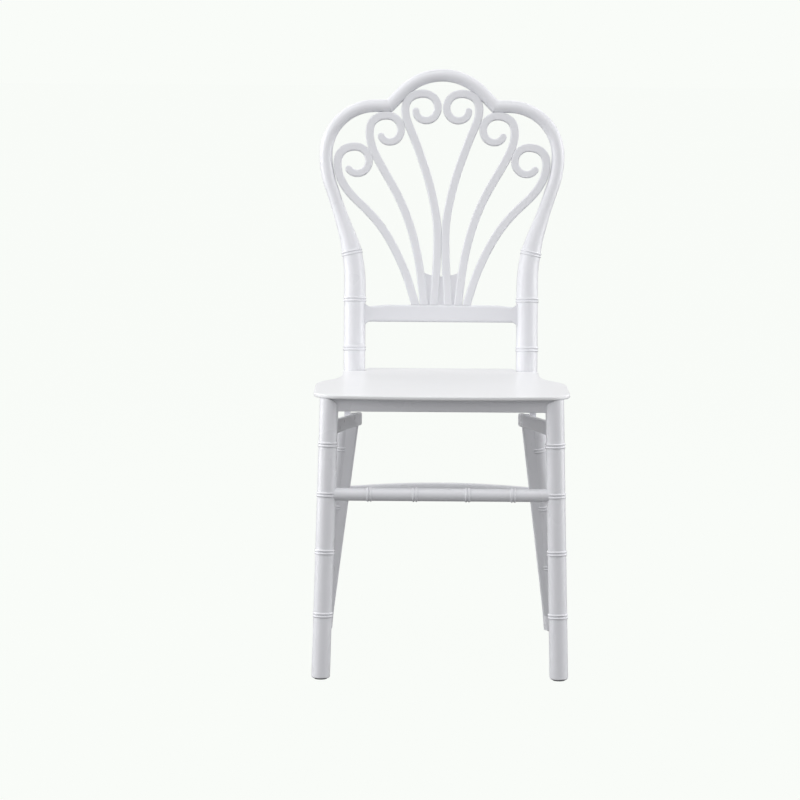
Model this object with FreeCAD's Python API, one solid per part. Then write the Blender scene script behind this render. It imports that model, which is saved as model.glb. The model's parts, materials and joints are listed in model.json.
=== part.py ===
import FreeCAD, Part
import math
import os

os.makedirs("parts", exist_ok=True)
V = FreeCAD.Vector

# Overall sizes of the chair, in millimetres
overall_depth = 472.0
seat_top = 446.0
seat_width = 400.0

# Seat panel
seat_thickness = 6.5
seat_front_bow = 10.0
seat_corner_radius = 46.0
seat_straight_end = -70.0
seat_shoulder = [(3.5, -42.0), (13.5, -14.0), (25.5, 8.0), (34.0, 32.0), (38.7, 66.0)]
seat_waist_half = 160.5
seat_rear_edge = 155.0
seat_rear_rise = 3.5
seat_rise_start = 70.0
seat_edge_round = 2.4
seat_notch_gap = 0.6
rib_thickness = 3.0
rib_height = 9.0
rib_pitch = 70.0

# Front legs
leg_diameter = 29.0
front_foot_x = 186.0
front_top_x = 175.0
front_foot_y = -221.0
front_top_y = -204.5
shoulder_radius = 19.0
front_ring_heights = [367.2, 289.3, 199.5, 100.7]
foot_chamfer = 1.6

# Rear legs
rear_foot_x = 192.5
rear_top_x = 158.5
rear_top_y = 130.0
rear_leg_top = 367.0
rear_inner_x = 133.1
rear_inner_slope = 0.126
web_depth = 27.0
web_edge_round = 4.0
ear_outer_x = 146.5
ear_top = 375.5
web_runout_height = 32.0
web_runout_flare = 0.35
rear_ring_heights = [319.0, 219.0, 115.5]

# Double bead rings
bead_radius = 1.9
bead_proud = 1.3
bead_pitch = 4.6

# Back posts
back_lean = 7.1
post_x = 141.7
post_y = 142.0
post_diameter = 35.3
post_top_diameter = 32.4
post_bottom = 382.0
post_bend_start = 141.0
post_bend_radius = 262.0
post_bend_angle = 19.0
post_joint_height = 197.5
post_ring_heights = [36.0, 116.5]
post_top_ring_drop = 4.0
tang_x = 152.5
tang_width = 10.0
tang_depth = 14.0
tang_foot = 345.5
tang_root = 10.0

# Scalloped hoop
hoop_diameter = 21.0
hoop_side_height = 354.5
hoop_side_radius = 156.0
lobe_radius = 81.0
lobe_centre_x = 110.0
crown_height = 486.5
crown_radius = 89.5
crown_angle = 46.0
taper_end_height = 283.0

# Back rail
rail_bottom = 80.0
rail_height = 28.0
rail_thickness = 16.0
rail_end_drop = 3.0
rail_drop_length = 32.0
rail_end_round = 5.0
rail_edge_round = 4.0
rail_tenon_height = 14.0
rail_tenon_thickness = 8.0
rail_tenon_length = 10.0

# Scroll strips of the fan
strip_thickness = 12.0
strip_width = 13.4
strip_tip_width = 11.5
strip_edge_round = 2.2
scroll_radius = 23.0
stem_tenon_width = 7.0
stem_tenon_thickness = 6.0
stem_tenon_length = 8.0
web_plate_thickness = 3.5
web_plate_setback = 2.4
web_plate_height = 57.0
web_plate_base_half = 31.0
web_plate_top_half = 36.0

# Stretchers
stretcher_diameter = 20.0
front_stretcher_height = 289.3
front_stretcher_rings = [41.0, 112.0]
rear_stretcher_height = 240.0
rear_stretcher_rise = 7.5
stretcher_tenon_diameter = 12.0
stretcher_tenon_length = 6.0

# Side braces
brace_height = 21.5
brace_thickness = 8.6
brace_rear_x = 134.5
brace_rear_bottom = 355.3
brace_front_bottom = 379.0
brace_rear_reach = 14.0
brace_bow = 1.2
brace_corner_round = 5.0
brace_edge_chamfer = 1.6

# Seat frame
apron_bottom = 419.0
front_apron_thickness = 14.0
apron_thickness = 12.0
side_apron_front_x = 173.0
side_apron_rear_x = 146.0
apron_edge_round = 2.0

# Fasteners and fits
fit_gap = 0.15
spigot_diameter = 8.0
spigot_length = 7.0
bolt_diameter = 6.0
bolt_clearance = 0.3
bolt_head_diameter = 10.0
bolt_head_height = 3.5
bolt_cover_thickness = 2.5
barrel_diameter = 10.0
barrel_length = 14.0
barrel_setback = 24.0
bolt_end = 7.0
nut_width = 10.0
nut_height = 5.0
joint_cap_thickness = 1.6
joint_head_height = 2.8
joint_head_gap = 0.2
screw_diameter = 4.0
screw_head_diameter = 7.5
screw_head_height = 2.6
screw_recess = 8.0
screw_bite = 4.8
joint_pin_diameter = 10.0
joint_pin_length = 40.0

# Steel cores and foot glides
core_diameter = 12.0
core_wall = 1.5
core_bottom = 20.0
front_core_top = 380.0
rear_core_top = 318.0
glide_height = 2.0
glide_diameter = 20.0
glide_stem_length = 15.0

# Sizes that follow from the ones above
seat_under = seat_top - seat_thickness
seat_front_edge = -overall_depth / 2
leg_radius = leg_diameter / 2
rear_foot_y = overall_depth / 2 - leg_radius
post_radius = post_diameter / 2
post_top_radius = post_top_diameter / 2
hoop_radius = hoop_diameter / 2
apron_height = seat_under - apron_bottom
apron_middle = apron_bottom + apron_height / 2
lean = math.radians(back_lean)
bolt_hole = bolt_diameter + bolt_clearance
head_hole = bolt_head_diameter + 2 * bolt_clearance


# Small helpers

def box(x0, x1, y0, y1, z0, z1):
    return Part.makeBox(x1 - x0, y1 - y0, z1 - z0, V(x0, y0, z0))


def rod(start, end, diameter):
    along = end - start
    return Part.makeCylinder(diameter / 2, along.Length, start, along)


def fuse_all(shapes):
    result = shapes[0]
    for shape in shapes[1:]:
        result = result.fuse(shape)
    return result.removeSplitter()


def cut_all(shape, tools):
    for tool in tools:
        shape = shape.cut(tool)
    return shape


def one_solid(shape):
    solids = sorted(shape.Solids, key=lambda solid: solid.Volume)
    return solids[-1]


def mirrored(shape):
    return shape.mirror(V(0, 0, 0), V(1, 0, 0))


def place_back(shape):
    placed = shape.copy()
    placed.rotate(V(0, 0, 0), V(1, 0, 0), -back_lean)
    placed.translate(V(0, post_y, seat_top))
    return placed


def back_point(across, up, deep=0.0):
    y = post_y + up * math.sin(lean) + deep * math.cos(lean)
    z = seat_top + up * math.cos(lean) - deep * math.sin(lean)
    return V(across, y, z)


def post_axis_y(height):
    return post_y + (height - seat_top) * math.tan(lean)


def polygon_face(points):
    return Part.Face(Part.makePolygon(points + [points[0]]))


def bead_rings(centre, axis, radius):
    step = V(axis).normalize() * (bead_pitch / 2)
    major = radius + bead_proud - bead_radius
    upper = Part.makeTorus(major, bead_radius, centre + step, axis)
    lower = Part.makeTorus(major, bead_radius, centre - step, axis)
    return [upper, lower]


# Front legs: round, slightly splayed, with an inner shoulder under the seat

def front_leg_axis(height):
    share = height / seat_under
    x = front_foot_x + (front_top_x - front_foot_x) * share
    y = front_foot_y + (front_top_y - front_foot_y) * share
    return V(x, y, height)


def front_leg_blank():
    low = front_leg_axis(-20)
    high = front_leg_axis(seat_under + 20)
    leg = rod(low, high, leg_diameter)
    leg = leg.common(box(0, 400, -400, 0, glide_height, seat_under))
    bottom = [edge for edge in leg.Edges if edge.BoundBox.ZMax < glide_height + 0.1]
    leg = leg.makeChamfer(foot_chamfer, bottom)
    axis = high - low
    beads = []
    for height in front_ring_heights:
        beads += bead_rings(front_leg_axis(height), axis, leg_radius)
    leg = fuse_all([leg] + beads)
    inner = front_top_x - leg_radius
    centre = V(inner + shoulder_radius, -400, seat_under - shoulder_radius)
    corner = box(inner - 10, centre.x, -400, 0, centre.z, seat_under + 10)
    shoulder = Part.makeCylinder(shoulder_radius, 400, centre, V(0, 1, 0))
    return one_solid(leg.cut(corner.cut(shoulder)))


def front_core_line():
    return front_leg_axis(core_bottom), front_leg_axis(front_core_top)


def tube(start, end, outer, wall):
    return rod(start, end, outer).cut(rod(start, end, outer - 2 * wall))


def foot_bore(axis_at, top):
    low = axis_at(-20)
    high = axis_at(top + 1)
    return rod(low, high, core_diameter + 2 * fit_gap)


def foot_glide(axis_at):
    pad = Part.makeCylinder(glide_diameter / 2, glide_height, axis_at(0))
    pad = pad.makeChamfer(0.6, [e for e in pad.Edges if e.BoundBox.ZMax < 0.1])
    stem = rod(axis_at(-20), axis_at(glide_height + glide_stem_length), core_diameter)
    stem = stem.common(box(0, 400, -400, 400, glide_height / 2, 100))
    return one_solid(pad.fuse(stem).removeSplitter())


# Rear legs: a round ringed front half with a flat web on the inner side

rear_rake = math.atan2(rear_foot_y - rear_top_y, rear_leg_top)


def rear_leg_axis(height):
    share = height / rear_leg_top
    x = rear_foot_x + (rear_top_x - rear_foot_x) * share
    y = rear_foot_y + (rear_top_y - rear_foot_y) * share
    return V(x, y, height)


def rear_leg_point(x, height):
    return V(x, 0, height / math.cos(rear_rake))


def raked(shape):
    placed = shape.copy()
    placed.rotate(V(0, 0, 0), V(1, 0, 0), math.degrees(rear_rake))
    placed.translate(V(0, rear_foot_y, 0))
    return placed


def rear_inner_at(height):
    return rear_inner_x + rear_inner_slope * (rear_leg_top - height)


def rear_web():
    low = web_runout_height
    corners = [
        rear_leg_point(rear_inner_at(low), low),
        rear_leg_point(rear_inner_x, rear_leg_top),
        rear_leg_point(rear_inner_x, rear_leg_top + 30),
        rear_leg_point(rear_top_x, rear_leg_top + 30),
        rear_leg_point(rear_leg_axis(low).x, low),
    ]
    web = polygon_face(corners).extrude(V(0, web_depth, 0))
    web.translate(V(0, -web_depth / 2, 0))
    inner = []
    for edge in web.Edges:
        box_ = edge.BoundBox
        along_leg = box_.YLength < 0.1 and box_.ZLength > 20
        on_inner_side = edge.CenterOfMass.x < rear_leg_axis(edge.CenterOfMass.z).x - leg_radius / 2
        if along_leg and on_inner_side:
            inner.append(edge)
    web = raked(web.makeFillet(web_edge_round, inner))
    return web.cut(web_runout())


def web_runout():
    start = rear_leg_axis(web_runout_height - 10)
    along = rear_leg_axis(web_runout_height + 70) - start
    narrow = leg_radius - 0.5
    wide = narrow + along.Length * web_runout_flare
    cone = Part.makeCone(narrow, wide, along.Length, start, along)
    return Part.makeCylinder(wide + 20, along.Length, start, along).cut(cone)


def rear_leg_blank():
    low = rear_leg_axis(-20)
    high = rear_leg_axis(rear_leg_top + 20)
    round_half = rod(low, high, leg_diameter)
    beads = []
    for height in rear_ring_heights:
        beads += bead_rings(rear_leg_axis(height), high - low, leg_radius)
    leg = fuse_all([round_half, rear_web()] + beads)
    body = leg.common(box(0, 400, 0, 400, glide_height, rear_leg_top))
    ear = rear_web().common(box(0, ear_outer_x, 0, 400, rear_leg_top - 5, ear_top))
    leg = body.fuse(ear).removeSplitter()
    return one_solid(leg.cut(brace_bar(brace_rear_reach + 20)))


# Back posts: round, leaning back, with a tang that drops into the rear leg

def bend_point(angle):
    turn = math.radians(angle)
    x = post_x + post_bend_radius * (1 - math.cos(turn))
    z = post_bend_start + post_bend_radius * math.sin(turn)
    return V(x, 0, z), V(math.sin(turn), 0, math.cos(turn))


def joint_turn():
    return math.degrees(math.asin((post_joint_height - post_bend_start) / post_bend_radius))


def circle_wire(centre, tangent, radius):
    z = V(tangent).normalize()
    x = V(0, 1, 0)
    y = z.cross(x)
    matrix = FreeCAD.Matrix(
        x.x, y.x, z.x, centre.x,
        x.y, y.y, z.y, centre.y,
        x.z, y.z, z.z, centre.z,
        0, 0, 0, 1)
    wire = Part.Wire(Part.makeCircle(radius))
    wire.Placement = FreeCAD.Placement(matrix)
    return wire


def post_blank():
    straight = Part.makeCylinder(post_radius, 200, V(post_x, 0, -120))
    joint_angle = joint_turn()
    sections = []
    steps = 4
    for step in range(steps + 1):
        share = step / steps
        centre, tangent = bend_point(joint_angle * share)
        radius = post_radius + (post_top_radius - post_radius) * share
        sections.append(circle_wire(centre, tangent, radius))
    neck = Part.makeLoft(sections, True)
    shank = Part.makeCylinder(post_radius, post_bend_start - 80, V(post_x, 0, 80))
    beads = []
    for height in post_ring_heights:
        beads += bead_rings(V(post_x, 0, height), V(0, 0, 1), post_radius)
    centre, tangent = bend_point(joint_angle)
    ring_centre = centre - tangent * post_top_ring_drop
    beads += bead_rings(ring_centre, tangent, post_top_radius)
    post = place_back(fuse_all([straight, shank, neck] + beads))
    post = post.common(box(0, 400, 0, 400, post_bottom, 900))
    tang_y = post_axis_y(post_bottom)
    tang = box(tang_x - tang_width / 2, tang_x + tang_width / 2, tang_y - tang_depth / 2,
               tang_y + tang_depth / 2, tang_foot, post_bottom + tang_root)
    return one_solid(post.fuse(tang).removeSplitter())


def tang_socket():
    tang_y = post_axis_y(post_bottom)
    half_width = tang_width / 2 + fit_gap
    half_depth = tang_depth / 2 + fit_gap
    return box(tang_x - half_width, tang_x + half_width, tang_y - half_depth,
               tang_y + half_depth, tang_foot, seat_top)


# Scalloped hoop: round tube of a crown, two side lobes and two tapering sides

def disc(centre, tangent, radius):
    return Part.Face(circle_wire(centre, tangent, radius))


def bent_tube(pivot, bend_radius, start_angle, sweep, radius):
    turn = math.radians(start_angle)
    centre = pivot + V(math.cos(turn), 0, math.sin(turn)) * bend_radius
    tangent = V(-math.sin(turn), 0, math.cos(turn))
    return disc(centre, tangent, radius).revolve(pivot, V(0, -1, 0), sweep)


def hoop_side_top():
    return V(lobe_centre_x + lobe_radius, 0, hoop_side_height)


def hoop_side_bend():
    top = hoop_side_top()
    turn = math.radians(post_bend_angle)
    pivot = top - V(hoop_side_radius, 0, 0)
    bottom = pivot + V(math.cos(turn), 0, -math.sin(turn)) * hoop_side_radius
    return pivot, bottom


def hoop_taper():
    joint_angle = joint_turn()
    bend_end, slope = bend_point(post_bend_angle)
    side_bottom = hoop_side_bend()[1]
    sections = []
    bend_steps = 3
    for step in range(bend_steps + 1):
        angle = joint_angle + (post_bend_angle - joint_angle) * step / bend_steps
        sections.append(bend_point(angle))
    run = side_bottom - bend_end
    straight_steps = 4
    for step in range(1, straight_steps + 1):
        sections.append((bend_end + run * (step / straight_steps), slope))
    low = sections[0][0].z
    wires = []
    for centre, tangent in sections:
        share = min(1.0, (centre.z - low) / (taper_end_height - low))
        ease = math.sin(share * math.pi / 2)
        radius = post_top_radius + (hoop_radius - post_top_radius) * ease
        wires.append(circle_wire(centre, tangent, radius))
    return Part.makeLoft(wires, True)


def hoop_cusp():
    turn = math.radians(crown_angle)
    pivot = V(0, 0, crown_height - crown_radius)
    end = pivot + V(math.sin(turn), 0, math.cos(turn)) * crown_radius
    lobe_height = hoop_side_height + lobe_radius
    fall = end.z - lobe_height
    return pivot, end, V(end.x + fall / math.tan(turn), 0, lobe_height)


def half_hoop():
    pivot, crown_end, cusp = hoop_cusp()
    lobe_pivot = V(lobe_centre_x, 0, hoop_side_height)
    side_pivot, side_bottom = hoop_side_bend()
    crown = bent_tube(pivot, crown_radius, 90 - crown_angle, crown_angle, hoop_radius)
    slope = (cusp - crown_end).normalize()
    ramp = rod(crown_end, cusp + slope * 30, hoop_diameter)
    flat = rod(V(lobe_centre_x, 0, cusp.z), cusp - V(30, 0, 0), hoop_diameter)
    mitre = Part.makeBox(120, 200, 400, V(0, -100, -200))
    mitre.rotate(V(0, 0, 0), V(0, 1, 0), crown_angle / 2)
    mitre.translate(cusp)
    ramp = ramp.cut(mitre)
    flat = flat.common(mitre)
    lobe = bent_tube(lobe_pivot, lobe_radius, 0, 90, hoop_radius)
    side = bent_tube(side_pivot, hoop_side_radius, -post_bend_angle, post_bend_angle, hoop_radius)
    return [crown, ramp, flat, lobe, side, hoop_taper()]


def hoop_blank():
    right = half_hoop()
    pieces = right + [mirrored(piece) for piece in right]
    return one_solid(place_back(fuse_all(pieces)))


def joint_pin(side, clearance):
    centre, tangent = bend_point(joint_turn())
    reach = joint_pin_length / 2 + clearance
    pin = rod(centre - tangent * reach, centre + tangent * reach, joint_pin_diameter + 2 * clearance)
    pin = place_back(pin)
    return pin if side > 0 else mirrored(pin)


# Fan of six scrolled strips: hand-chosen stem points, then a spiral by formula

stems = {
    "outer": [(42.1, 0), (56.5, 46), (75, 88), (99, 128), (128, 160.5), (155, 188)],
    "middle": [(27.8, 0), (38, 76), (49.5, 123), (66, 167), (89.5, 211), (109, 246)],
    "inner": [(12, 0), (9, 42), (6.9, 86), (7.6, 134), (14, 173), (23, 209), (35.3, 246), (50, 284)],
}
scrolls = {
    "outer": {"centre": (143.0, 345.0), "reach": 28.5, "tip": 306, "tip_radius": 17.5},
    "middle": {"centre": (90.6, 396.5), "reach": 28.5, "tip": 310, "tip_radius": 15.0},
    "inner": {"centre": (30.2, 432.8), "reach": 30.5, "tip": 336, "tip_radius": 14.5},
}
rail_top = rail_bottom + rail_height


def spiral_radius(kind, angle):
    data = scrolls[kind]
    if angle < 90:
        share = (1 - math.cos(math.radians(2 * angle))) / 2
        return data["reach"] + (scroll_radius - data["reach"]) * share
    if angle < 225:
        return scroll_radius
    share = (angle - 225) / (data["tip"] - 225)
    return scroll_radius + (data["tip_radius"] - scroll_radius) * share ** 1.5


def strip_line(kind):
    data = scrolls[kind]
    points = [V(u, 0, rail_top + v) for u, v in stems[kind]]
    points.insert(0, points[0] - (points[1] - points[0]) * 0.25)
    step = 27
    angle = 0.0
    while angle < data["tip"] - step / 2:
        points.append(spiral_point(kind, angle))
        angle += step
    points.append(spiral_point(kind, data["tip"]))
    line = Part.BSplineCurve()
    line.interpolate(points)
    return line


def spiral_point(kind, angle):
    data = scrolls[kind]
    turn = math.radians(angle)
    radius = spiral_radius(kind, angle)
    x = data["centre"][0] + radius * math.cos(turn)
    z = data["centre"][1] + radius * math.sin(turn)
    return V(x, 0, z)


def strip_width_at(share):
    if share < 0.75:
        return strip_width
    return strip_width + (strip_tip_width - strip_width) * (share - 0.75) / 0.25


def strip_blank(kind):
    line = strip_line(kind)
    first = line.FirstParameter
    last = line.LastParameter
    samples = 32
    left = []
    right = []
    for index in range(samples + 1):
        share = index / samples
        parameter = first + (last - first) * share
        centre = line.value(parameter)
        tangent = V(*line.tangent(parameter)[0]).normalize()
        side = V(tangent.z, 0, -tangent.x) * (strip_width_at(share) / 2)
        left.append(centre - side)
        right.append(centre + side)
    left_edge = Part.BSplineCurve()
    left_edge.interpolate(left)
    right_edge = Part.BSplineCurve()
    right_edge.interpolate(right)
    end = line.value(last)
    tangent = V(*line.tangent(last)[0]).normalize()
    tip = Part.Arc(left[-1], end + tangent * (strip_tip_width / 2), right[-1])
    base = Part.LineSegment(right[0], left[0])
    wire = Part.Wire([left_edge.toShape(), tip.toShape(), right_edge.toShape(), base.toShape()])
    strip = Part.Face(wire).extrude(V(0, strip_thickness, 0))
    strip.translate(V(0, -strip_thickness / 2, 0))
    rounded = []
    for edge in strip.Edges:
        box_ = edge.BoundBox
        if box_.YLength < 0.01 and box_.ZMax > rail_top + 1:
            rounded.append(edge)
    strip = strip.makeFillet(strip_edge_round, rounded)
    return strip.cut(box(-300, 300, -50, 50, rail_top - 60, rail_top))


def stem_tenon(kind, clearance):
    base = stems[kind][0][0]
    half_width = stem_tenon_width / 2 + clearance
    half_depth = stem_tenon_thickness / 2 + clearance
    return box(base - half_width, base + half_width, -half_depth, half_depth,
               rail_top - stem_tenon_length - clearance, rail_top + 3)


def fan_strips():
    hoop = half_hoop()
    raw = {kind: strip_blank(kind) for kind in scrolls}
    middle_plane = box(-50, 0, -50, 50, 0, 700)
    inner = cut_all(raw["inner"], hoop + [middle_plane])
    middle = cut_all(raw["middle"], hoop + [raw["inner"]])
    outer = cut_all(raw["outer"], hoop + [raw["inner"], raw["middle"]])
    finished = {}
    for kind, strip in (("inner", inner), ("middle", middle), ("outer", outer)):
        tenon = stem_tenon(kind, 0)
        finished[kind] = one_solid(one_solid(strip).fuse(tenon).removeSplitter())
    return finished


def fan_web(strips):
    base = web_plate_base_half
    top = web_plate_top_half
    height = rail_top + web_plate_height
    dip = height - 10
    corners = [V(-base, 0, rail_top), V(-top, 0, height), V(top, 0, height), V(base, 0, rail_top)]
    edges = [
        Part.LineSegment(corners[0], corners[1]).toShape(),
        Part.Arc(corners[1], V(0, 0, dip), corners[2]).toShape(),
        Part.LineSegment(corners[2], corners[3]).toShape(),
        Part.LineSegment(corners[3], corners[0]).toShape(),
    ]
    plate = Part.Face(Part.Wire(edges)).extrude(V(0, web_plate_thickness, 0))
    plate.translate(V(0, web_plate_setback - strip_thickness / 2, 0))
    for kind in ("inner", "middle"):
        plate = plate.cut(strips[kind]).cut(mirrored(strips[kind]))
    cells = [cell for cell in plate.Solids if cell.Volume > 50]
    return [place_back(cell) for cell in cells]


# Back rail between the posts, with mortises for the six strips

def rail_outline():
    end = post_x
    drop_start = end - post_radius - rail_drop_length
    face = post_x - post_radius
    flare = rail_end_round
    points = [
        V(drop_start, 0, rail_top),
        V(face - flare, 0, rail_top - rail_end_drop),
        V(face + 2, 0, rail_top - rail_end_drop + flare),
        V(end, 0, rail_top - rail_end_drop + flare),
        V(end, 0, rail_bottom - flare),
        V(face + 2, 0, rail_bottom - flare),
        V(face - flare, 0, rail_bottom),
    ]
    left = [V(-p.x, 0, p.z) for p in reversed(points)]
    return polygon_face(points + left)


def back_rail(posts):
    rail = rail_outline().extrude(V(0, rail_thickness, 0))
    rail.translate(V(0, -rail_thickness / 2, 0))
    reach = post_x - post_radius - rail_end_round
    rounded = []
    for edge in rail.Edges:
        box_ = edge.BoundBox
        if box_.YLength < 0.01 and box_.XLength > 5 and abs(edge.CenterOfMass.x) < reach:
            rounded.append(edge)
    rail = rail.makeFillet(rail_edge_round, rounded)
    for kind in scrolls:
        mortise = stem_tenon(kind, fit_gap)
        rail = rail.cut(mortise).cut(mirrored(mortise))
    rail = cut_all(place_back(rail), posts)
    return one_solid(fuse_all([one_solid(rail)] + rail_tenons(0)))


def rail_tenons(clearance):
    middle = rail_bottom + rail_height / 2
    half_height = rail_tenon_height / 2 + clearance
    half_thick = rail_tenon_thickness / 2 + clearance
    face = post_x - post_radius
    tenon = box(face - 6, face + rail_tenon_length + clearance, -half_thick, half_thick,
                middle - half_height, middle + half_height)
    tenon = place_back(tenon)
    return [tenon, mirrored(tenon)]


# Stretchers

def front_stretcher(legs):
    y = front_leg_axis(front_stretcher_height).y
    start = V(-front_foot_x, y, front_stretcher_height)
    end = V(front_foot_x, y, front_stretcher_height)
    bar = rod(start, end, stretcher_diameter)
    beads = []
    for place in front_stretcher_rings:
        for side in (-1, 1):
            centre = V(side * place, y, front_stretcher_height)
            beads += bead_rings(centre, V(1, 0, 0), stretcher_diameter / 2)
    bar = one_solid(cut_all(fuse_all([bar] + beads), legs))
    return one_solid(fuse_all([bar] + front_stretcher_tenons(0)))


def front_stretcher_tenons(clearance):
    axis = front_leg_axis(front_stretcher_height)
    inner = axis.x - leg_radius
    start = V(inner - 6, axis.y, front_stretcher_height)
    end = V(inner + stretcher_tenon_length + clearance, axis.y, front_stretcher_height)
    tenon = rod(start, end, stretcher_tenon_diameter + 2 * clearance)
    return [tenon, mirrored(tenon)]


def rear_stretcher_ends():
    height = rear_stretcher_height
    return V(rear_inner_at(height), rear_leg_axis(height).y, height)


def rear_stretcher(legs):
    end = rear_stretcher_ends()
    half = end.x + 8
    rise = rear_stretcher_rise
    radius = (half * half + rise * rise) / (2 * rise)
    pivot = V(0, end.y, end.z + rise - radius)
    turn = math.degrees(math.asin(half / radius))
    bar = bent_tube(pivot, radius, 90 - turn, 2 * turn, stretcher_diameter / 2)
    bar = one_solid(cut_all(bar, legs))
    return one_solid(fuse_all([bar] + rear_stretcher_tenons(0)))


def rear_stretcher_tenons(clearance):
    end = rear_stretcher_ends()
    start = V(end.x - 8, end.y, end.z)
    stop = V(end.x + stretcher_tenon_length + clearance, end.y, end.z)
    tenon = rod(start, stop, stretcher_tenon_diameter + 2 * clearance)
    return [tenon, mirrored(tenon)]


# Side braces: flat arched bars from the front leg to the inner face of the rear leg

def brace_plan():
    front = front_leg_axis(brace_front_bottom + brace_height / 2)
    rear_y = post_axis_y(post_bottom)
    front_point = V(front.x, front.y, 0)
    rear_point = V(brace_rear_x, rear_y, 0)
    return front_point, rear_point


def brace_turn():
    front, rear = brace_plan()
    return math.atan2(rear.y - front.y, rear.x - front.x)


def brace_flat(reach):
    front, rear = brace_plan()
    run = (rear - front).Length
    length = run + brace_rear_reach
    slope = (brace_rear_bottom - brace_front_bottom) / run
    rear_z = brace_front_bottom + slope * length
    middle_z = (brace_front_bottom + rear_z) / 2 + brace_bow
    up = V(0, 0, brace_height)
    start = V(0, 0, brace_front_bottom)
    middle = V(length / 2, 0, middle_z)
    stop = V(length, 0, rear_z)
    end = V(run + reach, 0, rear_z + slope * (reach - brace_rear_reach))
    edges = [
        Part.Arc(start, middle, stop).toShape(),
        Part.LineSegment(end, end + up).toShape(),
        Part.Arc(start + up, middle + up, stop + up).toShape(),
        Part.LineSegment(start + up, start).toShape(),
    ]
    if reach > brace_rear_reach:
        edges.append(Part.LineSegment(stop, end).toShape())
        edges.append(Part.LineSegment(end + up, stop + up).toShape())
    bar = Part.Face(Part.Wire(Part.sortEdges(edges)[0])).extrude(V(0, brace_thickness, 0))
    bar.translate(V(0, -brace_thickness / 2, 0))
    return bar


def brace_in_place(bar):
    placed = bar.copy()
    placed.rotate(V(0, 0, 0), V(0, 0, 1), math.degrees(brace_turn()))
    placed.translate(brace_plan()[0])
    return placed


def brace_bar(reach):
    return brace_in_place(brace_flat(reach))


def brace_blank():
    bar = brace_flat(brace_rear_reach)
    length = bar.BoundBox.XMax
    ends = [e for e in bar.Edges if e.BoundBox.YLength > 1 and e.CenterOfMass.x > length - 1]
    bar = bar.makeFillet(brace_corner_round, ends)
    long_edges = [e for e in bar.Edges if e.BoundBox.YLength < 0.1 and e.BoundBox.XLength > 50]
    return brace_in_place(bar.makeChamfer(brace_edge_chamfer, long_edges))


def rear_joint_point(x):
    return V(x, post_axis_y(post_bottom), brace_rear_bottom + brace_height / 2)


def rear_joint_mouth():
    return brace_rear_x - brace_thickness / 2 / math.sin(brace_turn())


def rear_joint_head_seat():
    return rear_joint_mouth() + joint_cap_thickness + joint_head_gap + joint_head_height


def rear_joint_bolt():
    stop = rear_joint_point(tang_x + tang_width / 2)
    seat = rear_joint_head_seat()
    shank = rod(rear_joint_point(seat), stop, bolt_diameter)
    head = rod(rear_joint_point(seat - joint_head_height), rear_joint_point(seat),
               bolt_head_diameter)
    return shank.fuse(head).removeSplitter()


def rear_joint_hole():
    start = rear_joint_point(rear_joint_mouth() - 5)
    shank = rod(start, rear_joint_point(tang_x + tang_width / 2), bolt_hole)
    return shank.fuse(rod(start, rear_joint_point(rear_joint_head_seat()), head_hole))


def rear_joint_cap():
    start = rear_joint_point(rear_joint_mouth() - 3)
    stop = rear_joint_point(rear_joint_mouth() + joint_cap_thickness)
    return one_solid(rod(start, stop, head_hole - 2 * fit_gap).common(brace_blank()))


def rear_joint_nut(clearance):
    outer = tang_x + tang_width / 2
    return rod(rear_joint_point(outer - nut_height - clearance),
               rear_joint_point(outer + 4 * clearance), nut_width + 2 * clearance)


def brace_spigot(clearance):
    height = brace_front_bottom + brace_height / 2
    front, rear = brace_plan()
    axis = front_leg_axis(height)
    direction = (rear - front).normalize()
    surface = axis + direction * leg_radius
    return rod(surface + direction * 8, surface - direction * (spigot_length + clearance),
               spigot_diameter + 2 * clearance)


# Seat frame: four aprons under the panel

def rounded_bar(length, thickness, low, high):
    bar = box(0, length, -thickness / 2, thickness / 2, low, high)
    edges = [e for e in bar.Edges if e.BoundBox.XLength > 10 and e.CenterOfMass.z < low + 0.1]
    return bar.makeFillet(apron_edge_round, edges)


def front_apron_blank():
    half = front_top_x + 1
    y = front_leg_axis(apron_middle).y
    bar = rounded_bar(2 * half, front_apron_thickness, apron_bottom, seat_under)
    bar.translate(V(-half, y, 0))
    return bar


def side_apron_blank():
    front = V(side_apron_front_x, front_leg_axis(apron_middle).y, 0)
    rear = V(side_apron_rear_x, post_axis_y(apron_middle), 0)
    direction = rear - front
    bar = rounded_bar(direction.Length, apron_thickness, apron_bottom, seat_under)
    bar.rotate(V(0, 0, 0), V(0, 0, 1), math.degrees(math.atan2(direction.y, direction.x)))
    bar.translate(front)
    return bar


def rear_apron_blank():
    half = post_x
    bar = rounded_bar(2 * half, apron_thickness, apron_bottom, seat_under)
    bar.translate(V(-half, post_axis_y(apron_middle), 0))
    return bar


def side_apron_spigot(clearance):
    axis = front_leg_axis(apron_middle)
    reach = math.sqrt(leg_radius ** 2 - (side_apron_front_x - axis.x) ** 2)
    back = V(side_apron_front_x, axis.y + reach, apron_middle)
    return rod(back + V(0, 8, 0), back - V(0, spigot_length + clearance, 0),
               spigot_diameter + 2 * clearance)


def rear_apron_spigot(clearance):
    face = V(post_x - post_radius, post_axis_y(apron_middle), apron_middle)
    return rod(face - V(8, 0, 0), face + V(spigot_length + clearance, 0, 0),
               spigot_diameter + 2 * clearance)


# Bolts with barrel nuts and cover caps

def front_bolt_frame():
    axis = front_leg_axis(apron_middle)
    return V(axis.x + leg_radius, axis.y, apron_middle), V(-1, 0, 0)


def side_bolt_frame():
    y = post_axis_y(apron_middle)
    reach = math.sqrt(post_radius ** 2 - (side_apron_rear_x - post_x) ** 2)
    return V(side_apron_rear_x, y + reach, apron_middle), V(0, -1, 0)


def bolt_depth(frame):
    return leg_diameter if frame is front_bolt_frame else post_diameter


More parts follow.
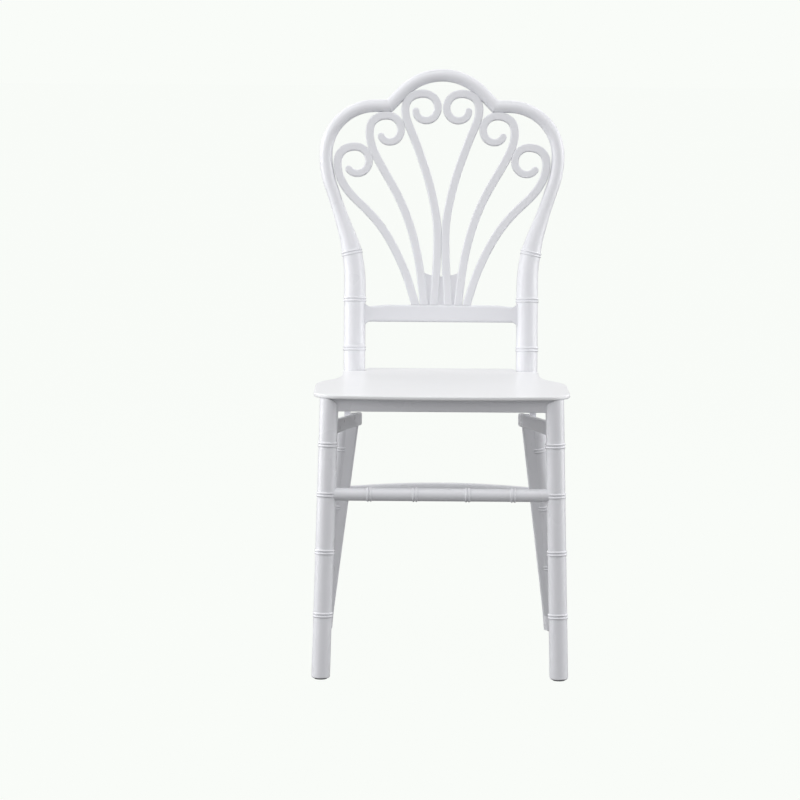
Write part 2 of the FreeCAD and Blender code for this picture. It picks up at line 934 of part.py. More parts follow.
def head_depth():
    return bolt_cover_thickness + bolt_head_height + 1.0


def bolt_length(frame):
    return bolt_depth(frame) + barrel_setback + bolt_end


def barrel_place(frame):
    mouth, inward = frame()
    return mouth + inward * (bolt_depth(frame) + barrel_setback)


def frame_bolt(frame):
    mouth, inward = frame()
    seat = mouth + inward * (head_depth())
    shank = rod(seat, mouth + inward * bolt_length(frame), bolt_diameter)
    head = rod(seat - inward * bolt_head_height, seat, bolt_head_diameter)
    return shank.fuse(head).removeSplitter()


def frame_bolt_hole(frame):
    mouth, inward = frame()
    shank = rod(mouth - inward * 5, mouth + inward * (bolt_length(frame) + 1), bolt_hole)
    head = rod(mouth - inward * 5, mouth + inward * head_depth(), head_hole)
    return shank.fuse(head)


def cover_cap(frame, blanks):
    mouth, inward = frame()
    cap = rod(mouth - inward * 3, mouth + inward * bolt_cover_thickness, head_hole - 2 * fit_gap)
    return one_solid(cap.common(blanks))


def barrel_nut(frame):
    place = barrel_place(frame)
    low = V(place.x, place.y, apron_middle - barrel_length / 2)
    nut = Part.makeCylinder(barrel_diameter / 2, barrel_length, low)
    return nut.cut(frame_bolt_hole(frame))


def barrel_hole(frame):
    place = barrel_place(frame)
    low = V(place.x, place.y, apron_bottom - 1)
    height = apron_middle + barrel_length / 2 - apron_bottom + 1
    return Part.makeCylinder(barrel_diameter / 2 + fit_gap, height, low)


# Screws that hold the panel down on the aprons

def screw_places():
    front_y = front_leg_axis(apron_middle).y
    rear_y = post_axis_y(apron_middle)
    places = [(90, front_y), (-90, front_y), (70, rear_y), (-70, rear_y)]
    for y in (-115, 40):
        share = (y - front_y) / (rear_y - front_y)
        x = side_apron_front_x + (side_apron_rear_x - side_apron_front_x) * share
        places += [(x, y), (-x, y)]
    return places


def seat_screw(x, y):
    head_low = apron_bottom + screw_recess
    shank_low = head_low + screw_head_height
    shank = Part.makeCylinder(screw_diameter / 2, seat_under + screw_bite - shank_low,
                              V(x, y, shank_low))
    head = Part.makeCone(screw_head_diameter / 2, screw_diameter / 2, screw_head_height,
                         V(x, y, head_low))
    return shank.fuse(head).removeSplitter()


def seat_screw_hole(x, y):
    head_low = apron_bottom + screw_recess
    radius = screw_diameter / 2 + fit_gap
    head_radius = screw_head_diameter / 2 + fit_gap
    shank = Part.makeCylinder(radius, seat_under + screw_bite + 0.2 - head_low, V(x, y, head_low))
    cone = Part.makeCone(head_radius, radius, screw_head_height, V(x, y, head_low))
    mouth = Part.makeCylinder(head_radius, screw_recess + 1, V(x, y, apron_bottom - 1))
    return shank.fuse(cone).fuse(mouth)


# Seat panel: rounded trapezoid with notches for the posts and ribs underneath

def seat_outline():
    half = seat_width / 2
    front = seat_front_edge
    corner = seat_corner_radius
    side_front = front + seat_front_bow + corner
    slant = math.sqrt(0.5) * corner
    notch_front = post_axis_y(seat_top) - post_radius - seat_notch_gap
    inner = post_x - post_radius - seat_notch_gap
    waist = seat_waist_half
    rear = seat_rear_edge
    tail = 12.0
    side = Part.BSplineCurve()
    bends = [V(half - inset, y, 0) for inset, y in seat_shoulder]
    start = V(half, seat_straight_end, 0)
    side.interpolate([start] + bends + [V(waist, notch_front, 0)],
                     InitialTangent=V(0, 40, 0), FinalTangent=V(0, 30, 0))
    right = [
        Part.Arc(V(0, front, 0), V((half - corner) / 2, front + seat_front_bow / 4, 0),
                 V(half - corner, front + seat_front_bow, 0)).toShape(),
        Part.Arc(V(half - corner, front + seat_front_bow, 0),
                 V(half - corner + slant, side_front - slant, 0),
                 V(half, side_front, 0)).toShape(),
        Part.LineSegment(V(half, side_front, 0), V(half, seat_straight_end, 0)).toShape(),
        side.toShape(),
        Part.LineSegment(V(waist, notch_front, 0), V(inner, notch_front, 0)).toShape(),
        Part.LineSegment(V(inner, notch_front, 0), V(inner, rear - tail, 0)).toShape(),
        Part.Arc(V(inner, rear - tail, 0), V(inner - tail * 0.293, rear - tail * 0.293, 0),
                 V(inner - tail, rear, 0)).toShape(),
        Part.LineSegment(V(inner - tail, rear, 0), V(0, rear, 0)).toShape(),
    ]
    left = [mirrored(edge) for edge in right]
    wire = Part.Wire(Part.sortEdges(right + left)[0])
    return Part.Face(wire)


def seat_profile():
    front = seat_front_edge - 5
    rear = seat_rear_edge + 5
    rise_end = V(0, rear, seat_top + seat_rear_rise)
    rise_mid_y = (seat_rise_start + rear) / 2
    rise_mid = V(0, rise_mid_y, seat_top + seat_rear_rise / 4)
    edges = [
        Part.LineSegment(V(0, front, seat_under), V(0, front, seat_top)).toShape(),
        Part.LineSegment(V(0, front, seat_top), V(0, seat_rise_start, seat_top)).toShape(),
        Part.Arc(V(0, seat_rise_start, seat_top), rise_mid, rise_end).toShape(),
        Part.LineSegment(rise_end, V(0, rear, seat_under)).toShape(),
        Part.LineSegment(V(0, rear, seat_under), V(0, front, seat_under)).toShape(),
    ]
    return Part.Face(Part.Wire(edges))


def seat_ribs():
    inside_x = side_apron_rear_x - apron_thickness - 2
    front = front_leg_axis(apron_middle).y + front_apron_thickness / 2 + 1
    rear = post_axis_y(apron_middle) - apron_thickness / 2 - 1
    low = seat_under - rib_height
    ribs = []
    half = rib_thickness / 2
    for index in (-1, 0, 1):
        x = index * rib_pitch
        ribs.append(box(x - half, x + half, front, rear, low, seat_under))
    y = front + rib_pitch
    while y < rear - rib_pitch / 2:
        ribs.append(box(-inside_x, inside_x, y - half, y + half, low, seat_under))
        y += rib_pitch
    return ribs


def seat_panel():
    plan = seat_outline().extrude(V(0, 0, 40))
    plan.translate(V(0, 0, seat_under - 10))
    profile = seat_profile().extrude(V(seat_width + 40, 0, 0))
    profile.translate(V(-seat_width / 2 - 20, 0, 0))
    panel = one_solid(plan.common(profile))
    rim = []
    for edge in panel.Edges:
        centre = edge.CenterOfMass
        on_rim = edge.BoundBox.ZLength < seat_thickness - 0.5
        in_notch = abs(centre.x) > post_x - post_radius - 2 and centre.y > seat_straight_end + 100
        if on_rim and not in_notch and edge.Length > 15 and abs(centre.x) > -1:
            if centre.y < seat_rise_start or edge.BoundBox.YLength < 60:
                rim.append(edge)
    panel = panel.makeFillet(seat_edge_round, rim)
    panel = fuse_all([panel] + seat_ribs())
    return one_solid(panel)


# Build every piece, then cut the holes that the fasteners need

front_leg = front_leg_blank()
rear_leg = rear_leg_blank()
post = post_blank()
brace = brace_blank()
hoop = hoop_blank()
strips = fan_strips()

front_apron = one_solid(cut_all(front_apron_blank(), [front_leg, mirrored(front_leg)]))
side_apron = one_solid(cut_all(side_apron_blank(), [front_leg, front_apron_blank(), post]))
side_apron = side_apron.fuse(side_apron_spigot(0)).removeSplitter()
rear_apron = one_solid(cut_all(rear_apron_blank(), [post, mirrored(post)]))
rear_apron = fuse_all([rear_apron, rear_apron_spigot(0), mirrored(rear_apron_spigot(0))])

rail = back_rail([post, mirrored(post)])
brace = one_solid(brace.cut(front_leg))
brace = brace.fuse(brace_spigot(0)).removeSplitter().cut(rear_joint_hole())

front_bar = front_stretcher([front_leg, mirrored(front_leg)])
rear_bar = rear_stretcher([rear_leg, mirrored(rear_leg)])

front_cap = cover_cap(front_bolt_frame, front_leg)
side_cap = cover_cap(side_bolt_frame, post)

front_leg_tools = [
    foot_bore(front_leg_axis, front_core_top),
    front_stretcher_tenons(fit_gap)[0],
    brace_spigot(fit_gap),
    side_apron_spigot(fit_gap),
    frame_bolt_hole(front_bolt_frame),
]
rear_leg_tools = [
    foot_bore(rear_leg_axis, rear_core_top),
    rear_stretcher_tenons(fit_gap)[0],
    tang_socket(),
    rear_joint_hole(),
]
post_tools = [
    rail_tenons(fit_gap)[0],
    rear_apron_spigot(fit_gap),
    frame_bolt_hole(side_bolt_frame),
    rear_joint_hole(),
    rear_joint_nut(fit_gap),
    joint_pin(1, fit_gap),
]
front_leg = one_solid(cut_all(front_leg, front_leg_tools))
rear_leg = one_solid(cut_all(rear_leg, rear_leg_tools))
post = one_solid(cut_all(post, post_tools))
hoop = one_solid(cut_all(hoop, [joint_pin(1, fit_gap), joint_pin(-1, fit_gap)]))

screw_holes = [seat_screw_hole(x, y) for x, y in screw_places()]
front_holes = [frame_bolt_hole(front_bolt_frame), barrel_hole(front_bolt_frame)]
front_holes += [mirrored(hole) for hole in front_holes]
front_apron = one_solid(cut_all(front_apron, front_holes + screw_holes))
side_holes = [frame_bolt_hole(side_bolt_frame), barrel_hole(side_bolt_frame)]
side_apron = one_solid(cut_all(side_apron, side_holes + screw_holes))
rear_apron = one_solid(cut_all(rear_apron, screw_holes))
panel = one_solid(cut_all(seat_panel(), screw_holes))

front_core = tube(*front_core_line(), core_diameter, core_wall)
rear_core = tube(rear_leg_axis(core_bottom), rear_leg_axis(rear_core_top), core_diameter, core_wall)
front_glide = foot_glide(front_leg_axis)
rear_glide = foot_glide(rear_leg_axis)


def pair(shape):
    return [shape, mirrored(shape)]


nodes = {
    "seat_panel": [panel],
    "front_apron": [front_apron],
    "rear_apron": [rear_apron],
    "side_apron_right": [side_apron],
    "side_apron_left": [mirrored(side_apron)],
    "front_leg_right": [front_leg],
    "front_leg_left": [mirrored(front_leg)],
    "rear_leg_right": [rear_leg],
    "rear_leg_left": [mirrored(rear_leg)],
    "back_post_right": [post],
    "back_post_left": [mirrored(post)],
    "back_hoop": [hoop],
    "back_rail": [rail],
    "fan_web": fan_web(strips),
    "side_brace_right": [brace],
    "side_brace_left": [mirrored(brace)],
    "front_stretcher": [front_bar],
    "rear_stretcher": [rear_bar],
    "hoop_joint_pins": [joint_pin(1, 0), joint_pin(-1, 0)],
    "apron_bolts": pair(frame_bolt(front_bolt_frame)) + pair(frame_bolt(side_bolt_frame)),
    "apron_barrel_nuts": pair(barrel_nut(front_bolt_frame)) + pair(barrel_nut(side_bolt_frame)),
    "bolt_cover_caps": pair(front_cap) + pair(side_cap) + pair(rear_joint_cap()),
    "rear_joint_bolts": pair(rear_joint_bolt()),
    "rear_joint_nuts": pair(rear_joint_nut(0).cut(rear_joint_hole())),
    "seat_screws": [seat_screw(x, y) for x, y in screw_places()],
    "front_leg_cores": pair(front_core),
    "rear_leg_cores": pair(rear_core),
    "foot_glide_front_right": [front_glide],
    "foot_glide_front_left": [mirrored(front_glide)],
    "foot_glide_rear_right": [rear_glide],
    "foot_glide_rear_left": [mirrored(rear_glide)],
}
for kind, strip in strips.items():
    placed = place_back(strip)
    nodes["scroll_" + kind + "_right"] = [placed]
    nodes["scroll_" + kind + "_left"] = [mirrored(placed)]

for name, solids in nodes.items():
    shape = solids[0] if len(solids) == 1 else Part.makeCompound(solids)
    shape.exportStep("parts/" + name + ".step")
    volume = sum(solid.Volume for solid in solids) / 1000
    print(name, len(solids), "solid(s)", round(volume, 1), "cm3", "valid", shape.isValid())
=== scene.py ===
# %% [markdown]
# # A white banquet chair in moulded plastic
#
# The chair is a stacking banquet chair of the chiavari pattern: turned round legs with double
# bead rings, a thin bowed seat, and a scalloped hoop filled with a fan of six scrolled strips.
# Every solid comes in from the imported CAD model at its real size, so this lesson is about
# finishing: how to make plain white plastic look moulded, handled and lit in a studio.

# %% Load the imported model
import json
import math

import bpy
from mathutils import Matrix, Vector

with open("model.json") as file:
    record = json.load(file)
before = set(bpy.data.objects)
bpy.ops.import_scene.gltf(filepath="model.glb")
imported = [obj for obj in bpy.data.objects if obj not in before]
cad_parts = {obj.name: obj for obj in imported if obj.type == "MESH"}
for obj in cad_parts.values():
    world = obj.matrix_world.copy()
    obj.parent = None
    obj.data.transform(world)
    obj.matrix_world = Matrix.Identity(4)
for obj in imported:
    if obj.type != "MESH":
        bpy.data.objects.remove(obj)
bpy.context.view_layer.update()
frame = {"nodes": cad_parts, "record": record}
cad_nodes = frame["nodes"]

# %% [markdown]
# ## Camera
#
# The photograph was taken from the front, a little to the left of the middle and well above the
# seat, through a long lens. A long lens far away keeps the legs almost parallel. The pinhole
# model below has the distance, height and small tilts that put every ring and every foot of the
# chair on its place in a square picture 800 pixels wide.

# %% Place the camera
PICTURE_WIDTH = 800
FOCAL_PIXELS = 3723.0
SENSOR_WIDTH = 36.0
CAMERA_PLACE = Vector((-0.0465, -5.948, 1.099))
CAMERA_YAW = math.radians(-0.186)
CAMERA_PITCH = math.radians(6.576)
CAMERA_ROLL = math.radians(0.399)

camera_data = bpy.data.cameras.new("front_camera")
camera_data.sensor_width = SENSOR_WIDTH
camera_data.lens = FOCAL_PIXELS / PICTURE_WIDTH * SENSOR_WIDTH
camera_data.clip_end = 50.0
camera = bpy.data.objects.new("front_camera", camera_data)
bpy.context.scene.collection.objects.link(camera)
turn = Matrix.Rotation(-CAMERA_YAW, 4, "Z")
tilt = Matrix.Rotation(math.pi / 2 - CAMERA_PITCH, 4, "X")
roll = Matrix.Rotation(CAMERA_ROLL, 4, "Z")
camera.matrix_world = Matrix.Translation(CAMERA_PLACE) @ turn @ tilt @ roll
bpy.context.scene.camera = camera
print("lens:", round(camera_data.lens, 1), "mm")

# %% [markdown]
# ## Material helpers
#
# All finishes are procedural. A few helpers keep the node code short: one adds a node with its
# settings, one joins two sockets, and one starts a material with an empty Principled shader.

# %% Node helpers
def add_node(tree, kind, inputs=None, **settings):
    node = tree.nodes.new(kind)
    for name, value in settings.items():
        setattr(node, name, value)
    for name, value in (inputs or {}).items():
        node.inputs[name].default_value = value
    return node


def join(tree, source, target):
    tree.links.new(source, target)


def start_material(name):
    material = bpy.data.materials.new(name)
    material.use_nodes = True
    tree = material.node_tree
    tree.nodes.clear()
    shader = add_node(tree, "ShaderNodeBsdfPrincipled")
    output = add_node(tree, "ShaderNodeOutputMaterial")
    join(tree, shader.outputs["BSDF"], output.inputs["Surface"])
    return material, tree, shader


# %% [markdown]
# ## What moulded plastic needs
#
# Plain white plastic is never one flat colour. The melt cools unevenly, which leaves a very
# slow waviness and a faint change of tone. The polished steel mould leaves a fine orange-peel
# skin. Stacking and dragging leave faint grey scuffs, most of them near the feet. Each effect is
# a node group with named inputs, built once and used by every plastic with its own values.

# %% Start a node group
def start_group(name, inputs, outputs):
    group = bpy.data.node_groups.new(name, "ShaderNodeTree")
    for label, kind, default in inputs:
        socket = group.interface.new_socket(label, in_out="INPUT", socket_type=kind)
        socket.default_value = default
    for label, kind in outputs:
        group.interface.new_socket(label, in_out="OUTPUT", socket_type=kind)
    start = add_node(group, "NodeGroupInput")
    end = add_node(group, "NodeGroupOutput")
    return group, start, end


FLOAT = "NodeSocketFloat"
COLOUR = "NodeSocketColor"

# %% Tone: slow cloudy change between two near-equal whites
def build_tone_group():
    group, start, end = start_group(
        "melt_tone",
        [("Bright", COLOUR, (0.9, 0.9, 0.9, 1)), ("Dim", COLOUR, (0.8, 0.8, 0.8, 1)),
         ("Cloud Scale", FLOAT, 6.0), ("Contrast", FLOAT, 0.5)],
        [("Color", COLOUR), ("Cloud", FLOAT)])
    place = add_node(group, "ShaderNodeTexCoord")
    cloud = add_node(group, "ShaderNodeTexNoise", {"Detail": 3.0, "Roughness": 0.55})
    spread = add_node(group, "ShaderNodeMapRange", {"From Min": 0.3, "From Max": 0.7})
    amount = add_node(group, "ShaderNodeMath", operation="MULTIPLY")
    blend = add_node(group, "ShaderNodeMix", data_type="RGBA")
    join(group, place.outputs["Object"], cloud.inputs["Vector"])
    join(group, start.outputs["Cloud Scale"], cloud.inputs["Scale"])
    join(group, cloud.outputs["Fac"], spread.inputs["Value"])
    join(group, spread.outputs["Result"], amount.inputs[0])
    join(group, start.outputs["Contrast"], amount.inputs[1])
    join(group, amount.outputs["Value"], blend.inputs["Factor"])
    join(group, start.outputs["Bright"], blend.inputs["A"])
    join(group, start.outputs["Dim"], blend.inputs["B"])
    join(group, blend.outputs["Result"], end.inputs["Color"])
    join(group, amount.outputs["Value"], end.inputs["Cloud"])
    return group


# %% Skin: orange peel on a slow waviness, as one height for a Bump node
def build_skin_group():
    group, start, end = start_group(
        "moulded_skin",
        [("Peel Scale", FLOAT, 700.0), ("Peel Depth", FLOAT, 0.2),
         ("Wave Scale", FLOAT, 12.0), ("Wave Depth", FLOAT, 1.0)],
        [("Height", FLOAT)])
    place = add_node(group, "ShaderNodeTexCoord")
    peel = add_node(group, "ShaderNodeTexNoise", {"Detail": 2.0})
    wave = add_node(group, "ShaderNodeTexNoise", {"Detail": 1.0})
    peel_part = add_node(group, "ShaderNodeMath", operation="MULTIPLY")
    wave_part = add_node(group, "ShaderNodeMath", operation="MULTIPLY")
    total = add_node(group, "ShaderNodeMath", operation="ADD")
    for noise, scale, part, depth in ((peel, "Peel Scale", peel_part, "Peel Depth"),
                                      (wave, "Wave Scale", wave_part, "Wave Depth")):
        join(group, place.outputs["Object"], noise.inputs["Vector"])
        join(group, start.outputs[scale], noise.inputs["Scale"])
        join(group, noise.outputs["Fac"], part.inputs[0])
        join(group, start.outputs[depth], part.inputs[1])
    join(group, peel_part.outputs["Value"], total.inputs[0])
    join(group, wave_part.outputs["Value"], total.inputs[1])
    join(group, total.outputs["Value"], end.inputs["Height"])
    return group


# %% Scuffs: stretched streaks that thin out above the lower legs
STREAK_STRETCH = (1.0, 1.0, 0.18)
STREAK_CUT = {"From Min": 0.58, "From Max": 0.72}


def build_scuff_group():
    group, start, end = start_group(
        "stacking_scuffs",
        [("Streak Scale", FLOAT, 60.0), ("Low", FLOAT, 0.0), ("High", FLOAT, 0.12),
         ("Everywhere", FLOAT, 0.05), ("Amount", FLOAT, 0.6)],
        [("Mask", FLOAT)])
    place = add_node(group, "ShaderNodeTexCoord")
    stretch = add_node(group, "ShaderNodeMapping")
    stretch.inputs["Scale"].default_value = STREAK_STRETCH
    streak = add_node(group, "ShaderNodeTexNoise", {"Detail": 6.0, "Roughness": 0.7})
    sharp = add_node(group, "ShaderNodeMapRange", STREAK_CUT)
    apart = add_node(group, "ShaderNodeSeparateXYZ")
    height = add_node(group, "ShaderNodeMapRange", {"To Min": 1.0, "To Max": 0.0})
    least_part = add_node(group, "ShaderNodeMath", operation="MAXIMUM")
    scaled = add_node(group, "ShaderNodeMath", operation="MULTIPLY")
    mask = add_node(group, "ShaderNodeMath", operation="MULTIPLY")
    join(group, place.outputs["Object"], stretch.inputs["Vector"])
    join(group, stretch.outputs["Vector"], streak.inputs["Vector"])
    join(group, start.outputs["Streak Scale"], streak.inputs["Scale"])
    join(group, streak.outputs["Fac"], sharp.inputs["Value"])
    join(group, place.outputs["Object"], apart.inputs["Vector"])
    join(group, apart.outputs["Z"], height.inputs["Value"])
    join(group, start.outputs["Low"], height.inputs["From Min"])
    join(group, start.outputs["High"], height.inputs["From Max"])
    join(group, height.outputs["Result"], least_part.inputs[0])
    join(group, start.outputs["Everywhere"], least_part.inputs[1])
    join(group, least_part.outputs["Value"], scaled.inputs[0])
    join(group, sharp.outputs["Result"], scaled.inputs[1])
    join(group, scaled.outputs["Value"], mask.inputs[0])
    join(group, start.outputs["Amount"], mask.inputs[1])
    join(group, mask.outputs["Value"], end.inputs["Mask"])
    return group


tone_group = build_tone_group()
skin_group = build_skin_group()
scuff_group = build_scuff_group()
print("node groups:", [group.name for group in bpy.data.node_groups])

# %% [markdown]
# ## White plastics
#
# The frame is the glossier plastic, with a cool hint of lavender. The seat is a touch more
# neutral and slightly softer. Both use the same recipe, so one function builds them, and only
# their values differ. Scuffs darken the colour a little and take the gloss away.

# %% Build one moulded plastic
SCUFF_COLOUR = (0.42, 0.41, 0.40, 1)
SCUFF_ROUGHENING = 0.35
SKIN_BUMP = {"Strength": 0.35, "Distance": 0.0004}
PLASTIC_IOR = 1.49
COAT_ROUGHNESS = 0.12


def moulded_plastic(name, bright, dim, gloss, peel_depth, scuffs, scuff_top, coat):
    material, tree, shader = start_material(name)
    tone = add_node(tree, "ShaderNodeGroup", node_tree=tone_group)
    tone.inputs["Bright"].default_value = (*bright, 1)
    tone.inputs["Dim"].default_value = (*dim, 1)
    skin = add_node(tree, "ShaderNodeGroup", node_tree=skin_group)
    skin.inputs["Peel Depth"].default_value = peel_depth
    scuff = add_node(tree, "ShaderNodeGroup", node_tree=scuff_group)
    scuff.inputs["Amount"].default_value = scuffs
    scuff.inputs["High"].default_value = scuff_top
    colour = add_node(tree, "ShaderNodeMix", data_type="RGBA")
    colour.inputs["B"].default_value = SCUFF_COLOUR
    rough = add_node(tree, "ShaderNodeMapRange", {"To Min": gloss[0], "To Max": gloss[1]})
    dull = add_node(tree, "ShaderNodeMath", operation="MULTIPLY_ADD")
    dull.inputs[1].default_value = SCUFF_ROUGHENING
    bump = add_node(tree, "ShaderNodeBump", SKIN_BUMP)
    join(tree, tone.outputs["Color"], colour.inputs["A"])
    join(tree, scuff.outputs["Mask"], colour.inputs["Factor"])
    join(tree, colour.outputs["Result"], shader.inputs["Base Color"])
    join(tree, tone.outputs["Cloud"], rough.inputs["Value"])
    join(tree, scuff.outputs["Mask"], dull.inputs[0])
    join(tree, rough.outputs["Result"], dull.inputs[2])
    join(tree, dull.outputs["Value"], shader.inputs["Roughness"])
    join(tree, skin.outputs["Height"], bump.inputs["Height"])
    join(tree, bump.outputs["Normal"], shader.inputs["Normal"])
    shader.inputs["IOR"].default_value = PLASTIC_IOR
    shader.inputs["Coat Weight"].default_value = coat
    shader.inputs["Coat Roughness"].default_value = COAT_ROUGHNESS
    return material


frame_plastic = moulded_plastic(
    "frame_white_plastic", bright=(0.83, 0.835, 0.87), dim=(0.79, 0.795, 0.835),
    gloss=(0.26, 0.34), peel_depth=0.12, scuffs=0.5, scuff_top=0.16, coat=0.15)
seat_plastic = moulded_plastic(
    "seat_white_plastic", bright=(0.84, 0.845, 0.86), dim=(0.81, 0.815, 0.83),
    gloss=(0.34, 0.42), peel_depth=0.25, scuffs=0.2, scuff_top=0.05, coat=0.05)
print("plastics:", frame_plastic.name, seat_plastic.name)

# %% [markdown]
# ## Glides and steel
#
# The glides are dark, slightly gritty plastic that has rubbed on many floors. The hidden bolts,
# pins, screws and core tubes are zinc-plated steel with fine drawn lines.

# %% Glide plastic
GLIDE_DARK = (0.02, 0.02, 0.022, 1)
GLIDE_RUBBED = (0.09, 0.09, 0.09, 1)


def build_glide_material():
    material, tree, shader = start_material("glide_dark_plastic")
    place = add_node(tree, "ShaderNodeTexCoord")
    grit = add_node(tree, "ShaderNodeTexNoise", {"Scale": 900.0, "Detail": 4.0})
    ramp = add_node(tree, "ShaderNodeValToRGB")
    ramp.color_ramp.elements[0].position = 0.35
    ramp.color_ramp.elements[0].color = GLIDE_DARK
    ramp.color_ramp.elements[1].position = 0.7
    ramp.color_ramp.elements[1].color = GLIDE_RUBBED
    rough = add_node(tree, "ShaderNodeMapRange", {"To Min": 0.55, "To Max": 0.85})
    bump = add_node(tree, "ShaderNodeBump", {"Strength": 0.5, "Distance": 0.0002})
    join(tree, place.outputs["Object"], grit.inputs["Vector"])
    join(tree, grit.outputs["Fac"], ramp.inputs["Fac"])
    join(tree, ramp.outputs["Color"], shader.inputs["Base Color"])
    join(tree, grit.outputs["Fac"], rough.inputs["Value"])
    join(tree, rough.outputs["Result"], shader.inputs["Roughness"])
    join(tree, grit.outputs["Fac"], bump.inputs["Height"])
    join(tree, bump.outputs["Normal"], shader.inputs["Normal"])
    return material


glide_plastic = build_glide_material()

# %% Zinc-plated steel
ZINC_DIM = (0.45, 0.46, 0.48, 1)
ZINC_BRIGHT = (0.68, 0.69, 0.72, 1)
DRAWN_STRETCH = (1.0, 1.0, 0.05)


def build_steel_material():
    material, tree, shader = start_material("zinc_plated_steel")
    place = add_node(tree, "ShaderNodeTexCoord")
    stretch = add_node(tree, "ShaderNodeMapping")
    stretch.inputs["Scale"].default_value = DRAWN_STRETCH
    lines = add_node(tree, "ShaderNodeTexNoise", {"Scale": 900.0, "Detail": 3.0})
    tint = add_node(tree, "ShaderNodeValToRGB")
    tint.color_ramp.elements[0].color = ZINC_DIM
    tint.color_ramp.elements[1].color = ZINC_BRIGHT
    rough = add_node(tree, "ShaderNodeMapRange", {"To Min": 0.25, "To Max": 0.5})
    join(tree, place.outputs["Object"], stretch.inputs["Vector"])
    join(tree, stretch.outputs["Vector"], lines.inputs["Vector"])
    join(tree, lines.outputs["Fac"], tint.inputs["Fac"])
    join(tree, tint.outputs["Color"], shader.inputs["Base Color"])
    join(tree, lines.outputs["Fac"], rough.inputs["Value"])
    join(tree, rough.outputs["Result"], shader.inputs["Roughness"])
    shader.inputs["Metallic"].default_value = 1.0
    return material


steel = build_steel_material()

# %% [markdown]
# ## Dressing the chair
#
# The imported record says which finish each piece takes. Every solid keeps its own mesh and only
# gets the material of its slot.

# %% Dress every CAD node
slot_of = {part["node"]: part["material_slot"] for part in frame["record"]["subparts"]}
finish_of_slot = {
    "frame_plastic": frame_plastic,
    "seat_plastic": seat_plastic,
    "glide_plastic": glide_plastic,
    "steel": steel,
}


def dress(piece, material):
    piece.data.materials.clear()
    piece.data.materials.append(material)


for name, node in cad_nodes.items():
    dress(node, finish_of_slot[slot_of[name]])
print("dressed:", len(cad_nodes))

# %% [markdown]
# ## Studio
#
# The chair stands on a pale seamless floor. Two big soft boxes at the sides give the bright edges
# of the round bars, and weaker ones stand in front and behind. Wide ones hang above: one in front
# for the faces turned to the camera, one behind for the seat's sheen. The surround is brighter
# overhead than at the horizon, as in a room with a white ceiling. To the camera the floor and the
# surround are one near-white, so no horizon shows. To the chair the floor is a darker grey, so
# that little light comes up under the seat.

# %% Floor
FLOOR_WIDTH = 60.0
bpy.ops.object.select_all(action="DESELECT")
bpy.ops.mesh.primitive_plane_add(size=FLOOR_WIDTH, location=(0, 0, 0))
studio_floor = bpy.context.object
studio_floor.name = "studio_floor"


# %% Floor finish: bright to the camera, grey to the chair
SEEN_WHITE = (0.948, 0.973, 0.940, 1)
SEEN_LEVEL = 0.985
FLOOR_GREY = (0.2, 0.2, 0.2, 1)
HAZE_DIM = (0.010, 0.010, 0.010, 1)
HAZE_BRIGHT = (0.014, 0.014, 0.014, 1)


def build_floor_material():
    material, tree, shader = start_material("pale_floor")
    output = tree.nodes["Material Output"]
    place = add_node(tree, "ShaderNodeTexCoord")
    haze = add_node(tree, "ShaderNodeTexNoise", {"Scale": 2.0, "Detail": 2.0})
    tint = add_node(tree, "ShaderNodeValToRGB")
    tint.color_ramp.elements[0].color = HAZE_DIM
    tint.color_ramp.elements[1].color = HAZE_BRIGHT
    glow = add_node(tree, "ShaderNodeEmission", {"Color": SEEN_WHITE, "Strength": SEEN_LEVEL})
    seen = add_node(tree, "ShaderNodeAddShader")
    grey = add_node(tree, "ShaderNodeBsdfDiffuse", {"Color": FLOOR_GREY})
    path = add_node(tree, "ShaderNodeLightPath")
    choice = add_node(tree, "ShaderNodeMixShader")
    join(tree, place.outputs["Object"], haze.inputs["Vector"])
    join(tree, haze.outputs["Fac"], tint.inputs["Fac"])
    join(tree, tint.outputs["Color"], shader.inputs["Base Color"])
    join(tree, shader.outputs["BSDF"], seen.inputs[0])
    join(tree, glow.outputs["Emission"], seen.inputs[1])
    join(tree, path.outputs["Is Camera Ray"], choice.inputs["Fac"])
    join(tree, grey.outputs["BSDF"], choice.inputs[1])
    join(tree, seen.outputs["Shader"], choice.inputs[2])
    join(tree, choice.outputs["Shader"], output.inputs["Surface"])
    shader.inputs["Roughness"].default_value = 0.9
    shader.inputs["Specular IOR Level"].default_value = 0.0
    return material


dress(studio_floor, build_floor_material())

# %% Soft boxes
def soft_box(name, place, aim, size, power):
    data = bpy.data.lights.new(name, "AREA")
    data.shape = "RECTANGLE"
    data.size, data.size_y = size
    data.energy = power
    lamp = bpy.data.objects.new(name, data)
    bpy.context.scene.collection.objects.link(lamp)
    lamp.location = place
    lamp.rotation_euler = (Vector(aim) - Vector(place)).to_track_quat("-Z", "Y").to_euler()


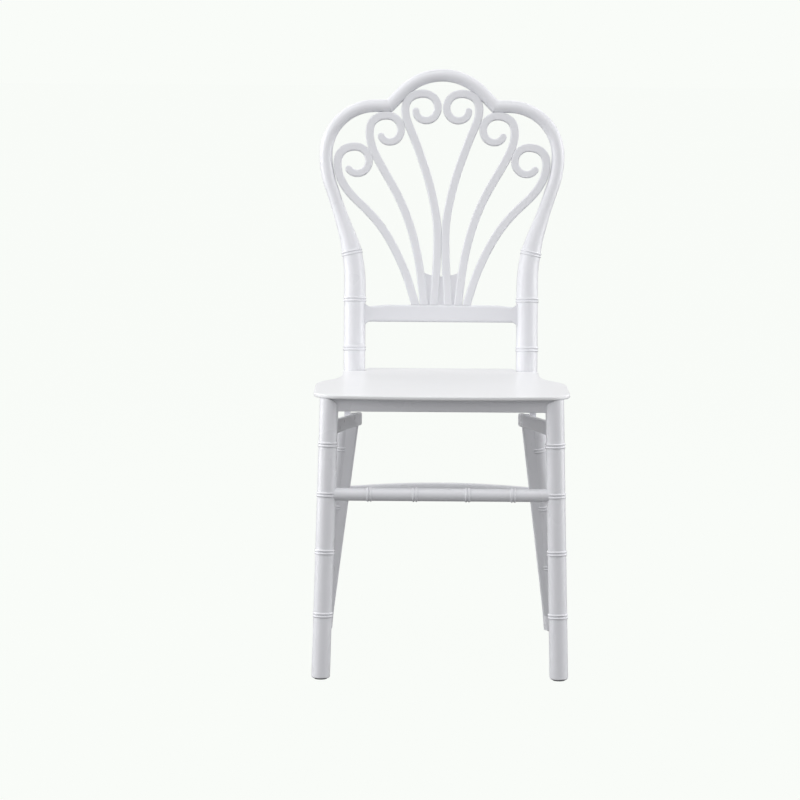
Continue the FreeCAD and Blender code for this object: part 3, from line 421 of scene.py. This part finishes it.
CHAIR_MIDDLE = (0, 0, 0.5)
SEAT_MIDDLE = (0, 0, 0.45)
SIDE_SIZE = (2.0, 2.0)
soft_box("left_box", (-2.5, 0.0, 0.9), CHAIR_MIDDLE, SIDE_SIZE, 41.5)
soft_box("right_box", (2.5, 0.0, 0.9), CHAIR_MIDDLE, SIDE_SIZE, 35.5)
soft_box("front_left_box", (-2.3, -2.3, 1.1), CHAIR_MIDDLE, SIDE_SIZE, 14.7)
soft_box("rear_left_box", (-2.2, 2.0, 1.1), CHAIR_MIDDLE, SIDE_SIZE, 8.0)
soft_box("rear_right_box", (2.2, 2.0, 1.1), CHAIR_MIDDLE, SIDE_SIZE, 8.0)
soft_box("rear_top_box", (0, 2.2, 2.6), SEAT_MIDDLE, (3.0, 1.6), 16.0)
soft_box("front_top_box", (0, -1.5, 3.4), CHAIR_MIDDLE, (3.6, 1.4), 24.0)

# %% White surround: plain white to the camera, a dimmer room to the chair
ROOM_LEVEL = 0.44
CEILING_LIFT = 0.32
world = bpy.data.worlds.new("white_surround")
world.use_nodes = True
sky = world.node_tree
backdrop = add_node(sky, "ShaderNodeBackground", {"Color": SEEN_WHITE, "Strength": 1.0})
sky_path = add_node(sky, "ShaderNodeLightPath")
sky_choice = add_node(sky, "ShaderNodeMixShader")
direction = add_node(sky, "ShaderNodeTexCoord")
apart = add_node(sky, "ShaderNodeSeparateXYZ")
upward = add_node(sky, "ShaderNodeMath", operation="MAXIMUM")
upward.inputs[1].default_value = 0.0
level = add_node(sky, "ShaderNodeMath", operation="MULTIPLY_ADD")
level.inputs[1].default_value = CEILING_LIFT
level.inputs[2].default_value = ROOM_LEVEL
surround = sky.nodes["Background"]
surround.inputs["Color"].default_value = (1, 1, 1, 1)
join(sky, direction.outputs["Generated"], apart.inputs["Vector"])
join(sky, apart.outputs["Z"], upward.inputs[0])
join(sky, upward.outputs["Value"], level.inputs[0])
join(sky, level.outputs["Value"], surround.inputs["Strength"])
join(sky, sky_path.outputs["Is Camera Ray"], sky_choice.inputs["Fac"])
join(sky, surround.outputs["Background"], sky_choice.inputs[1])
join(sky, backdrop.outputs["Background"], sky_choice.inputs[2])
join(sky, sky_choice.outputs["Shader"], sky.nodes["World Output"].inputs["Surface"])
bpy.context.scene.world = world
bpy.context.scene.view_settings.view_transform = "Standard"
print("lights:", len(bpy.data.lights))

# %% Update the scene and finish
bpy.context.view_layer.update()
